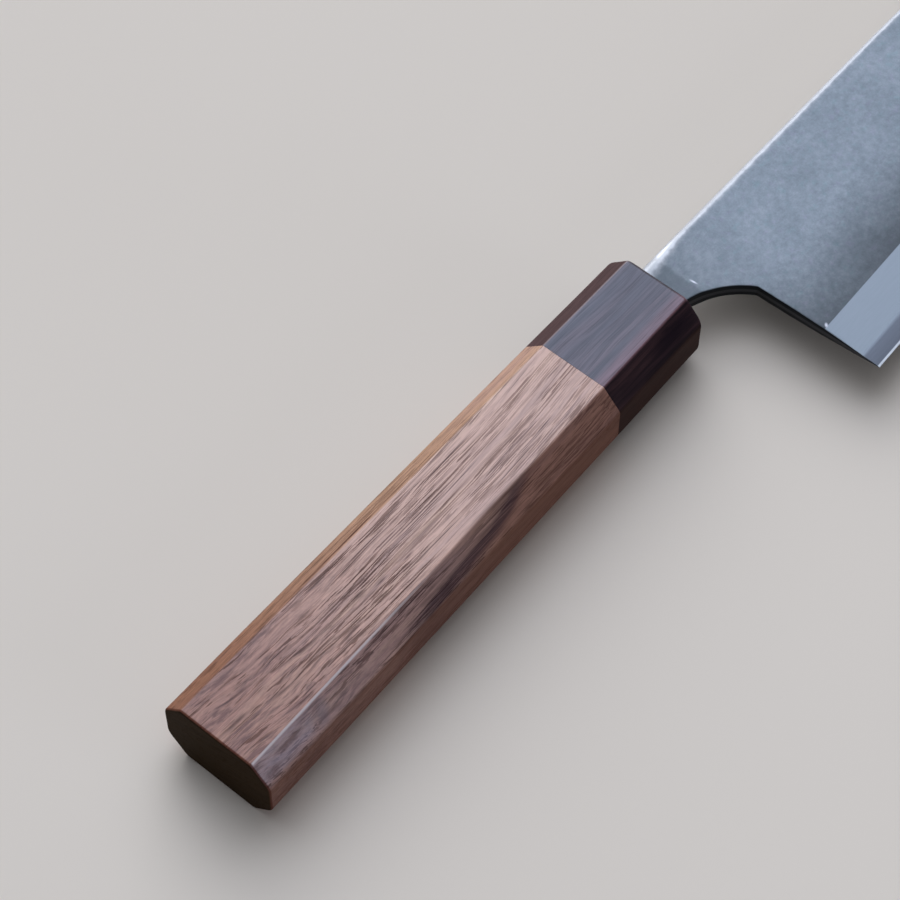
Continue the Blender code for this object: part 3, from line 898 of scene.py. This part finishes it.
def walnut_ground(s):
    """Ground colour, paler and pinker towards the ferrule, with bands of tan and mauve."""
    forward = s.along(-131, -64)
    s.bands = s.grain((0.012, 0.42, 0.3), detail=3, rough=0.55)
    s.colour = s.mix(forward, (0.335, 0.159, 0.115), (0.594, 0.357, 0.272))
    tan = s.mix(forward, (0.405, 0.22, 0.138), (0.6, 0.372, 0.255))
    s.paint(tan, s.range(s.bands, 0.52, 0.68), 0.45)
    mauve = s.mix(forward, (0.24, 0.118, 0.1), (0.45, 0.275, 0.235))
    s.paint(mauve, s.range(s.bands, 0.48, 0.34), 0.5)


def walnut_streaks(s):
    """Soft streaks, and near the butt broad smoky ones."""
    s.streaks = s.grain((0.06, 1.3, 1), (3, 9, 2), 3, 0.6)
    s.smoke = s.grain((0.095, 0.72, 0.5), (9, 1, 4), 4, 0.62, 0.25)
    soft = s.grain((0.09, 2.3, 2), (5, 5, 5), 3, 0.6)
    shade = s.most(
        s.product(s.range(s.streaks, 0.48, 0.37), s.linear(s.near_front, -0.16, 0.36)),
        s.product(s.range(soft, 0.5, 0.38), s.linear(s.near_front, 0.12, 0.14)),
        s.product(s.range(s.smoke, 0.51, 0.37), s.linear(s.near_butt, 0.62, 0.1)),
    )
    s.shade = s.product(shade, s.linear(s.spine_bevel, -0.8, 1))
    s.paint((0.125, 0.058, 0.056), s.shade)


def walnut_pores(s):
    """Open pores: long fine lines in the middle, thin dashes at the front, a few short ones at the butt."""
    presence = s.linear(s.range(s.grain((0.035, 0.5, 0.5), (2, 8, 6)), 0.36, 0.6), 0.82, 0.18)
    clear_patch = s.stroke(s.y, -78, -1.1, 13, 1.7, 0)
    presence = s.product(presence, s.linear(clear_patch, -0.6, 1), s.linear(s.spine_bevel, -0.3, 1))
    in_middle = s.less(s.invert(s.product(s.near_butt, 0.8)), s.product(s.near_front, 0.42))
    long_field = s.grain((0.046, 2.6, 2.3), (1, 7, 3), 2, 0.6)
    s.fine_field = s.grain((0.085, 3.9, 3.4), (5, 1, 9))
    dash_field = s.grain((0.13, 3.3, 3), (4, 2, 8))
    short_field = s.grain((0.17, 1.5, 1.4), (6, 3, 5))
    pores = s.most(
        s.product(s.range(long_field, 0.58, 0.602), in_middle),
        s.product(s.range(s.fine_field, 0.57, 0.596), s.product(in_middle, 0.95)),
        s.product(s.range(dash_field, 0.575, 0.606), s.linear(s.near_front, -0.12, 0.8)),
        s.product(s.range(short_field, 0.575, 0.635), s.along(-78, -98, 0, 0.72)),
    )
    s.pores = s.product(pores, presence)
    s.paint((0.066, 0.029, 0.023), s.pores, 0.88)


def walnut_figure(s):
    """The figure's own marks: long dark lines, flecks behind them, and a patch by the ridge at the belly."""
    lines = s.most(*(s.stroke(s.y, *mark) for mark in LONG_LINES))
    flecks = s.most(*(s.stroke(s.y, *mark) for mark in FLECKS))
    flecks = s.product(flecks, s.range(s.streaks, 0.7, 0.36, 0.35, 1), 0.72)
    patch = s.product(s.stroke(s.from_ridge, -60, -0.1, 17, 1, 0), s.to_belly)
    patch = s.product(patch, s.range(s.fine_field, 0.6, 0.44, 0.45, 0.7))
    s.figure = s.most(s.product(lines, 0.85), flecks, patch)
    s.paint((0.08, 0.038, 0.035), s.figure)


def walnut_spine_bevel(s):
    """Redder and plainer wood on the bevel at the spine, with one dark clumpy line beside the ridge."""
    s.tint(s.mix(s.along(-62, -36), (0.86, 0.84, 0.7), (0.96, 0.97, 0.9)), s.spine_bevel)
    clumps = s.range(s.grain((0.16, 1.2, 1), (7, 4, 2)), 0.36, 0.56, 0.55, 1)
    line = s.stroke(s.from_ridge, -86, 0.72, 25, 0.46, 0)
    s.paint((0.09, 0.036, 0.028), line, s.spine_bevel, clumps)


def walnut_belly_bevel(s):
    """A dark vein climbs the bevel at the belly, with dark wood beyond it and a dark line below."""
    climbing = s.most(s.math("ADD", s.x, 66), 0)
    vein_height = s.linear(s.product(climbing, climbing), -0.01, s.linear(s.x, -0.06, -1.45))
    from_vein = s.less(s.from_ridge, s.linear(s.drift, 0.25, vein_height))
    # Partly painted sheen: the bevel at the belly is kept lighter and bluer towards the butt, where it
    # catches light, and darker towards the front
    s.tint(s.grey(s.along(-100, -78, 1, 0.7)), s.belly_bevel)
    s.tint((0.86, 0.9, 1.02), s.belly_bevel, s.along(-62, -80))
    low_line = s.product(s.past(4.6, 5.8), s.past(7.2, 6.4))
    s.paint((0.075, 0.034, 0.027), low_line, s.belly_bevel, 0.55)
    past_vein = s.product(s.range(from_vein, -0.8, 0.8), s.along(-100, -60))
    s.tint((0.66, 0.56, 0.54), past_vein, s.belly_bevel)
    vein = s.product(s.range(s.absolute(from_vein), 1.5, 0.3), s.along(-99, -84))
    vein = s.product(vein, s.along(-48, -60), s.range(s.fine_field, 0.6, 0.44, 0.62, 1))
    s.paint((0.048, 0.024, 0.03), vein, s.belly_bevel, 0.86)


def walnut_painted_sheen(s):
    """Painted sheen: near the butt the bevel at the belly is painted lilac where it catches light, with a
    deeper painted shade where that begins.
    """
    slanting = s.range(s.linear(s.from_ridge, 0.8, s.x), -114.5, -118)
    uneven_sheen = s.product(s.past(4, 2.8), s.range(s.smoke, 0.3, 0.6))
    s.paint((0.31, 0.25, 0.3), slanting, s.belly_bevel, uneven_sheen, 0.5)
    # Painted shade at the edge of the painted sheen
    sheen_edge_shade = s.stroke(s.from_ridge, -115.5, 2.2, 3.2, 2, -35)
    s.paint((0.085, 0.06, 0.095), sheen_edge_shade, s.belly_bevel, 0.45)


def walnut_fibres(s):
    """Fine fibres all over, and a short mottling that is strongest near the butt."""
    s.fibres = s.grain((0.12, 8, 6), detail=2, rough=0.6)
    mottle = s.range(s.grain((0.45, 2.1, 1.8), (8, 5, 1), 3, 0.65), 0.3, 0.7, -0.5, 0.5, soft=False)
    mottle = s.product(mottle, s.along(-62, -100, 0.14, 0.4))
    s.tint(s.grey(s.math("ADD", s.linear(s.fibres, 0.2, 0.9), mottle)))


def walnut_butt(s):
    """The ridge at the belly painted pale as a painted highlight, a reddish rim round the butt, and end
    grain with the rings.
    """
    butt = BUTT_X / MM
    away = s.absolute(s.less(s.from_ridge, 0.06))
    line = s.product(s.range(away, 0.34, 0.04), s.to_belly, s.along(-74, -106))
    s.ridge_line = s.product(line, s.range(s.z, 6, 7.5), s.along(butt + 0.4, butt + 0.8))
    # Painted highlight on the ridge at the belly
    s.paint((0.72, 0.64, 0.64), s.ridge_line, 0.8)
    s.rim = s.along(butt + 0.7, butt + 0.38)
    s.paint((0.09, 0.028, 0.017), s.rim, 0.75)
    across_rings = s.linear(s.y, 0.55, s.product(s.z, 1.4))
    rings = s.noise(s.join(0.5, across_rings, s.product(s.z, 0.2)))
    end_grain = s.mix(rings, (0.021, 0.012, 0.006), (0.048, 0.028, 0.013))
    s.paint(end_grain, s.along(butt + 0.28, butt + 0.05))


def walnut():
    s = Wood("oiled_walnut")
    s.near_butt = s.along(-90, -116)
    s.near_front = s.along(-72, -48)
    s.spine_bevel = s.product(s.past_ridge, s.to_spine)
    s.belly_bevel = s.product(s.past_ridge, s.to_belly)
    walnut_flow(s)
    walnut_ground(s)
    walnut_streaks(s)
    walnut_pores(s)
    walnut_figure(s)
    walnut_spine_bevel(s)
    walnut_belly_bevel(s)
    # Painted shade: the narrow side facets are painted darker than the other facets, as they get less light
    s.paint(s.mix(s.bands, (0.135, 0.062, 0.044), (0.19, 0.092, 0.066)), s.on_side, 0.8)
    walnut_painted_sheen(s)
    walnut_fibres(s)
    walnut_butt(s)

    # The wax shines on the broad facets and less on the bevels, and not in the pores
    dark = s.most(s.pores, s.figure, s.product(s.shade, 0.6))
    buffed = s.product(s.along(-122, -78, 1.5, 0.1), s.belly_bevel, s.invert(s.on_side))
    gloss = s.math("ADD", s.invert(s.past_ridge), buffed)
    gloss = s.product(gloss, s.invert(s.rim), s.linear(dark, -0.8, 1))
    gloss = s.product(gloss, s.along(-130, -35, 0.6, 0.9))
    gloss = s.most(gloss, s.product(s.ridge_line, 1.4))
    rough = s.linear(s.invert(gloss), 0.18, s.linear(s.pores, 0.15, s.linear(s.fibres, 0.1, 0.36)))
    depth = s.less(s.product(s.fibres, 0.006), s.product(s.pores, 0.024))
    level = s.range(gloss, 0, 1, 0.02, 0.5, soft=False)
    shine = {"Specular_IOR_Level": level, "Coat_Weight": s.product(gloss, 0.8), "Coat_Roughness": 0.32}
    return s.finish(depth, 0.6, Roughness=rough, **shine)


def rosewood():
    s = Wood("waxed_rosewood")
    strayed = s.linear(s.wander((0.03, 0.12, 0.12)), 3, s.linear(s.x, 0.03, s.y))
    s.flow = s.join(s.x, strayed, s.z)
    bands = s.grain((0.02, 0.34, 0.22))
    streaks = s.grain((0.045, 1.7, 1.4), detail=3, rough=0.6)
    tones = (0, (0.017, 0.012, 0.015)), (0.5, (0.032, 0.018, 0.021)), (1, (0.058, 0.03, 0.032))
    s.colour = s.ramp(s.range(bands, 0.34, 0.66, soft=False), *tones)
    s.paint((0.01, 0.008, 0.01), s.range(streaks, 0.5, 0.36), 0.5)
    s.paint((0.072, 0.04, 0.042), s.range(streaks, 0.56, 0.72), 0.3)

    # Red in a strip along the belly ridge and on the bevel at the spine
    strip = s.product(s.past(-3.6, -0.9), s.past(0.35, -0.15))
    s.paint((0.15, 0.062, 0.066), strip, s.to_belly, 0.85)
    bevel_wood = s.mix(streaks, (0.072, 0.04, 0.038), (0.125, 0.074, 0.07))
    s.paint(bevel_wood, s.past(-0.3, 0.3), s.to_spine)
    s.paint(s.mix(streaks, (0.028, 0.014, 0.011), (0.058, 0.028, 0.022)), s.on_side)

    # Fine closed pores, a blacker patch on the bevel at the belly, and the ridge at the spine painted pale
    # as a painted highlight
    pores = s.range(s.grain((0.1, 4.6, 4), (5, 9, 2)), 0.54, 0.66)
    s.paint((0.008, 0.006, 0.007), pores, 0.38)
    patch = s.stroke(s.from_ridge, -8, 1.9, 9.5, 2.3, 0)
    s.paint((0.009, 0.006, 0.01), patch, s.to_belly, s.past(0.1, 0.5), 0.7)
    fine = s.grain((0.14, 3.2, 3), (2, 6, 1), 3, 0.6)
    quiet = s.product(s.past(0, 0.5), s.to_belly)
    tone = s.product(s.range(fine, 0.34, 0.66, -0.2, 0.2, soft=False), s.linear(quiet, -0.7, 1))
    s.tint(s.grey(s.math("ADD", tone, 1)))
    # Painted highlight along the ridge at the spine
    s.paint((0.3, 0.22, 0.21), s.range(s.absolute(s.from_ridge), 0.3, 0.05), s.to_spine, 0.55)

    # The wax shines on the broad facets, unevenly
    fibres = s.grain((0.09, 6, 6), detail=2, rough=0.6)
    uneven = s.linear(s.range(s.linear(fine, 0.5, streaks), 0.62, 0.9), 0.13, 0.87)
    gloss = s.product(s.invert(s.past_ridge), s.linear(pores, -0.16, uneven))
    rough = s.linear(fibres, 0.08, s.linear(gloss, -0.22, 0.51))
    depth = s.less(s.product(fibres, 0.004), s.product(pores, 0.006))
    shine = {"Specular_IOR_Level": s.range(gloss, 0, 1, 0.02, 0.88, soft=False)}
    shine["Specular_Tint"] = (0.8, 0.85, 1, 1)
    return s.finish(depth, 0.5, Roughness=rough, **shine)


GROUND_STEEL = (0.187, 0.219, 0.251)


def forged_steel():
    s = Surface("forged_cladding")
    above, over_crown, from_cut = (s.attribute(name) for name in ("above_shinogi", "over_crown", "from_cut"))
    clouds = s.noise(s.place, 0.11, 3, 0.55)
    mottle = s.noise(s.place, 0.62, 4, 0.62)
    speckle = s.noise(s.place, 2.4, 3, 0.6)
    uneven = s.less(mottle, 0.5)
    tone = s.linear(speckle, 0.22, s.linear(mottle, 0.5, s.product(clouds, 0.28)))
    tones = (0, (0.13, 0.158, 0.182)), (0.5, (0.176, 0.208, 0.239)), (1, (0.235, 0.268, 0.302))
    s.colour = s.ramp(s.range(tone, 0.36, 0.64, soft=False), *tones)
    # Hints of green and of lilac in the scale, and painted shade: a darker zone over the bevel and at the
    # neck, where the face mirrors less light
    hue = s.noise(s.mapped(s.place, shift=(30, 10, 0)), 0.55, 3, 0.6)
    s.tint((0.93, 1.02, 1), s.range(hue, 0.44, 0.3))
    s.tint((1.05, 0.98, 1.04), s.range(hue, 0.56, 0.7))
    painted_face_shade = s.range(s.linear(uneven, 3, above), 17, 1, soft=False)
    painted_face_shade = s.product(painted_face_shade, s.along(24, 44, -0.53, -0.63))
    at_neck = s.linear(s.along(28, 6), -0.22, 1)
    s.tint(s.grey(s.product(at_neck, s.math("ADD", painted_face_shade, 1))))
    # The neck is painted darker up to its step, painted shade
    s.paint((0.058, 0.07, 0.08), s.range(s.linear(uneven, 1.05, s.x), 7.9, 6.8), 0.5)

    # The bevel is ground with fine lines along it, and the spine's rounding is polished, its outer part
    # painted near white as a painted highlight
    brush = s.noise(s.mapped(s.place, (0.25, 3, 3)), 1, 3, 0.6)
    is_ground = s.range(above, 0.04, -0.04)
    s.paint(s.mix(brush, GROUND_STEEL, (0.215, 0.248, 0.283)), is_ground)
    polish_and_highlight = s.range(s.linear(uneven, 0.7, over_crown), -0.5, 0.3)
    polish_and_highlight = s.product(polish_and_highlight, s.along(4.5, 10, 0.8, 1))
    polished = s.mix(mottle, (0.215, 0.223, 0.238), (0.3, 0.308, 0.322))
    s.paint(s.mix(s.range(over_crown, 0.35, 0.8), polished, (0.78, 0.8, 0.83)), polish_and_highlight)
    # Painted glints where the shinogi meets the heel and on the step at the neck, and painted shade, near
    # black, on the sawn cut
    heel_glint = s.stroke(s.y, 17, -30.1, 0.8, 0.48, 40)
    painted_glints = s.most(heel_glint, s.stroke(s.y, 7.95, -3.3, 1.35, 0.36, -84))
    s.paint((0.52, 0.53, 0.58), painted_glints, 0.85)
    sawn = s.range(from_cut, 0.16, 0.02)
    s.paint((0.011, 0.013, 0.016), sawn)

    rough = s.blend(polish_and_highlight, s.blend(is_ground, s.linear(mottle, 0.14, 0.44), 0.42), 0.4)
    skin = s.linear(speckle, 0.014, s.product(mottle, 0.03))
    height = s.linear(brush, 0.0015, s.product(skin, s.invert(is_ground)))
    bare = s.most(s.linear(is_ground, 0.2, 0.55), polish_and_highlight, painted_glints, sawn)
    return s.finish(height, 0.5, Roughness=rough, Metallic=bare)


def core_steel():
    """Darker than the cladding, fading into its grey at the top, with a bright honed edge."""
    s = Surface("honed_core")
    above = s.attribute("above_edge")
    brush = s.noise(s.mapped(s.place, (0.2, 3, 3)), 1, 3, 0.6)
    s.colour = s.mix(brush, (0.08, 0.09, 0.111), (0.098, 0.11, 0.132))
    s.paint(GROUND_STEEL, s.range(above, 3.4, 4.7))
    s.paint((0.415, 0.44, 0.465), s.range(above, 0.55, 0.35))
    # Painted shade: the sawn cut is painted near black
    s.paint((0.03, 0.033, 0.038), s.range(s.attribute("from_cut"), 0.12, 0.02))
    return s.finish(brush, 0.05, Roughness=s.linear(brush, 0.1, 0.3), Metallic=0.8)


def clouded(name, scale, rough, dark, light, dullness, bump):
    """A material of an inner piece: two colours, dullness and relief that follow one noise."""
    s = Surface(name)
    clouds = s.noise(s.mapped(s.place, scale), 1, 3, rough)
    s.colour = s.ramp(clouds, (0.3, dark), (0.7, light))
    return s.finish(clouds, bump, Roughness=s.linear(clouds, *dullness))


def dowel_wood():
    colours = (0.5, 0.36, 0.22), (0.68, 0.53, 0.35)
    return clouded("turned_dowel", (0.05, 1.6, 1.6), 0.6, *colours, (0.2, 0.5), 0.1)


def resin():
    colours = (0.12, 0.075, 0.035), (0.2, 0.125, 0.055)
    return clouded("cured_resin", (0.5, 0.5, 0.5), 0.5, *colours, (0.1, 0.28), 0.05)


def floor_material():
    s = Surface("pale_floor")
    cloud = s.noise(s.place, 0.004, 2)
    s.colour = s.ramp(cloud, (0.3, (0.745, 0.674, 0.58)), (0.7, (0.765, 0.694, 0.6)))
    return s.finish(Roughness=0.85, Specular_IOR_Level=0.25)


def build_stage():
    """A plain pale matt floor, a hair below the knife."""
    bpy.ops.mesh.primitive_plane_add(size=2 * FLOOR_REACH, location=(0, 0, cad_low.z - FLOOR_GAP))
    floor = bpy.context.object
    floor.name = "floor"
    floor.data.materials.append(floor_material())


def direction(azimuth, elevation):
    a, e = math.radians(azimuth), math.radians(elevation)
    return Vector((math.cos(a) * math.cos(e), math.sin(a) * math.cos(e), math.sin(e)))


def build_light():
    """A window, a small panel on the other side, and round them a pale glow that fades into a dim room."""
    for name, azimuth, elevation, distance, size, radiance, colour in LAMPS:
        towards = direction(azimuth, elevation)
        lamp = bpy.data.lights.new(name, "AREA")
        lamp.shape = "RECTANGLE"
        lamp.size, lamp.size_y = size
        lamp.energy = radiance * math.pi * size[0] * size[1]
        lamp.color = colour
        made = add_object(name, lamp)
        made.location = towards * distance
        made.rotation_mode = "QUATERNION"
        made.rotation_quaternion = towards.to_track_quat("Z", "Y")
    world = bpy.data.worlds.new("studio")
    bpy.context.scene.world = world
    world.use_nodes = True
    s = Nodes(world.node_tree)
    place = s.node("ShaderNodeTexCoord").outputs["Generated"]
    inputs = {0: place, 1: direction(*GLOW_DIRECTION)}
    facing = s.node("ShaderNodeVectorMath", inputs, operation="DOT_PRODUCT").outputs["Value"]
    stops = []
    for angle, share in GLOW:
        colour = [c * share + dim for c, dim in zip(GLOW_COLOUR, ROOM_COLOUR)]
        stops.append((0.5 + 0.5 * math.cos(math.radians(angle)), colour))
    background = s.tree.nodes["Background"]
    s.put(background.inputs["Color"], s.ramp(s.linear(facing, 0.5, 0.5), *stops))
    s.put(background.inputs["Strength"], GLOW_STRENGTH)


def build_camera():
    right, forward = Vector(CAMERA_RIGHT).normalized(), Vector(CAMERA_FORWARD).normalized()
    turn = Matrix((right, right.cross(forward), -forward)).transposed().to_4x4()
    camera = add_object("camera", bpy.data.cameras.new("camera"))
    camera.matrix_world = Matrix.Translation(CAMERA_PLACE) @ turn
    camera.data.lens = CAMERA_LENS
    camera.data.sensor_width = CAMERA_SENSOR
    camera.data.clip_start = CAMERA_NEAR
    bpy.context.scene.camera = camera


cladding = forged_steel()
build_cladding("forged_right_cladding", "right_cladding", 1, cladding)
build_cladding("forged_left_cladding", "left_cladding", -1, cladding)
build_core(core_steel())
build_ferrule(rosewood())
build_body(walnut())
for node, material in (("dowel", dowel_wood()), ("tang_resin", resin())):
    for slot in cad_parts[node].material_slots:
        slot.material = material
build_stage()
build_light()
build_camera()
bpy.context.scene.view_settings.view_transform = "Standard"
